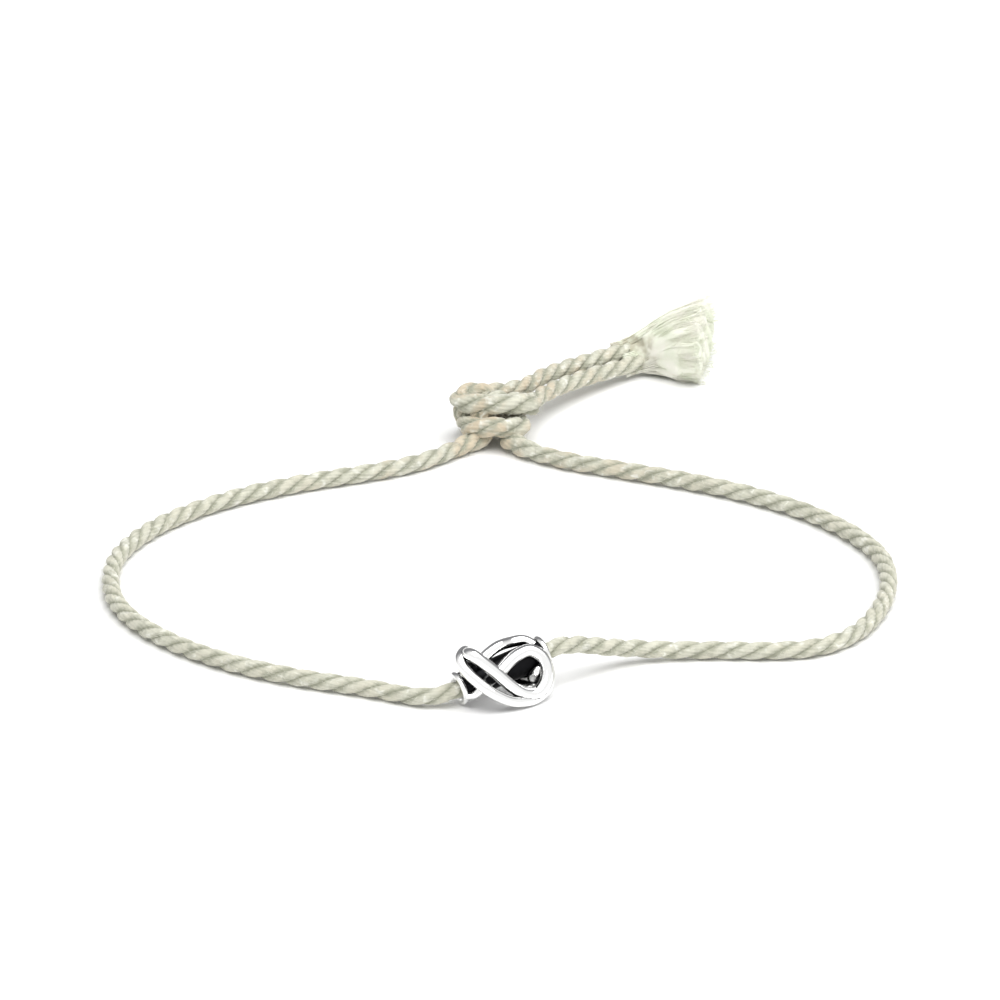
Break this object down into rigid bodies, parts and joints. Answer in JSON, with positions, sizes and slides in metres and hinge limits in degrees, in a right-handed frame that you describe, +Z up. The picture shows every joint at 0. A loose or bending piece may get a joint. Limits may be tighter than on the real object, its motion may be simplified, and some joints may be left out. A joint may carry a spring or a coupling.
{
  "type": "friendship bracelet",
  "caption": "Friendship bracelet of cream twisted cord: a loop with a silver love knot charm in front, tied behind in an overhand knot whose tails end in a frayed tassel.",
  "frame": {"origin": "middle of the loop, where the wrist goes, on the table that the bracelet lies on", "axes": "+Z up from the table, +Y from the love knot charm at the front to the overhand knot behind, +X to the right"},
  "size_m": [0.0647, 0.0801, 0.0062],
  "materials": {
    "silver": "polished cast silver, darkened in its recesses",
    "cord": "cream cotton cord, three plies twisted together",
    "fray": "loose ends of the cord's yarn, paler than the cord"
  },
  "bodies": {
    "root": {"love_knot": "silver", "loop_cord": "cord", "back_knot": "cord", "tail_upper": "cord", "tail_lower": "cord", "tassel": "fray"}
  },
  "joints": []
}
